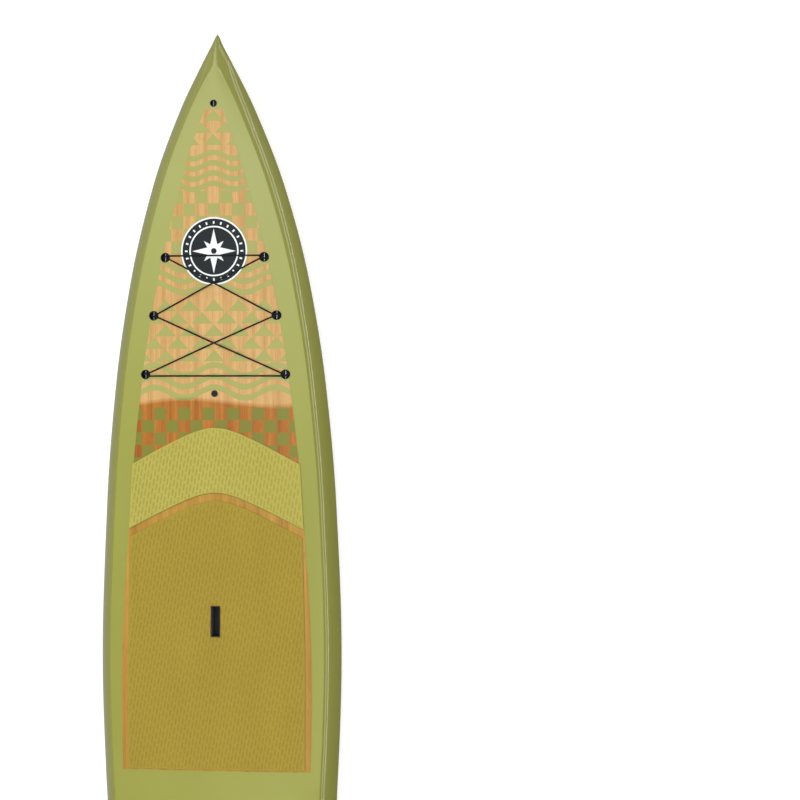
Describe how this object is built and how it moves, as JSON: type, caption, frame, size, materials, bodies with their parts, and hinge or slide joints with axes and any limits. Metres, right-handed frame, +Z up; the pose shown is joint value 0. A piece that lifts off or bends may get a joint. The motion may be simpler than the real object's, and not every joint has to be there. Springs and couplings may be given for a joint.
{
  "type": "stand up paddleboard",
  "caption": "Touring stand up paddleboard with a pointed nose, raised tail deck, bamboo skins, deck pads, bungee, carry handle, vent and fin box.",
  "frame": {"origin": "on the resting plane, under the middle of the board's length and width", "axes": "+Y to the nose, +X to the rider's right, +Z up out of the deck"},
  "size_m": [0.8, 3.81, 0.1917],
  "materials": {
    "eps_foam": "beaded foam",
    "dense_foam": "fine closed-cell foam",
    "stringer_wood": "raw wood",
    "olive_paint": "gloss clear coat over paint",
    "bamboo": "gloss clear coat over bamboo veneer with printed pattern",
    "pale_eva": "matte grooved EVA",
    "mustard_eva": "matte grooved EVA",
    "black_plastic": "satin moulded plastic",
    "black_rubber": "soft matte rubber",
    "cord": "braided cover",
    "steel": "polished stainless steel",
    "badge_print": "printed film under gloss"
  },
  "bodies": {
    "board": {"core_left": "eps_foam", "core_right": "eps_foam", "stringer": "stringer_wood", "handle_block": "dense_foam", "fin_block": "dense_foam", "deck_shell": "olive_paint", "bottom_shell": "olive_paint", "deck_veneer_front": "bamboo", "deck_veneer_tail": "bamboo", "bottom_veneer": "bamboo", "front_pad": "pale_eva", "main_pad": "mustard_eva", "tail_pad": "mustard_eva", "kick_bar": "mustard_eva", "handle_cup": "black_plastic", "handle_grip": "black_rubber", "bungee_plug_1": "black_plastic", "bungee_plug_2": "black_plastic", "bungee_plug_3": "black_plastic", "bungee_plug_4": "black_plastic", "bungee_plug_5": "black_plastic", "bungee_plug_6": "black_plastic", "bungee_pin_1": "steel", "bungee_pin_2": "steel", "bungee_pin_3": "steel", "bungee_pin_4": "steel", "bungee_pin_5": "steel", "bungee_pin_6": "steel", "bungee_cord": "cord", "vent_body": "black_plastic", "vent_o_ring": "black_rubber", "tow_plug": "black_plastic", "tow_pin": "steel", "leash_plug": "black_plastic", "leash_pin": "steel", "fin_box": "black_plastic", "deck_badge": "badge_print", "rail_badge_right": "badge_print", "rail_badge_left": "badge_print"},
    "vent_plug_screw": {"vent_screw": "black_plastic"}
  },
  "joints": [
    {"name": "vent_screw_turn", "type": "hinge", "parent": "board", "child": "vent_plug_screw", "pos_m": [0, 0.737, 0.15549], "axis": [0, 0, 1], "range_deg": [0, 1800]}
  ]
}
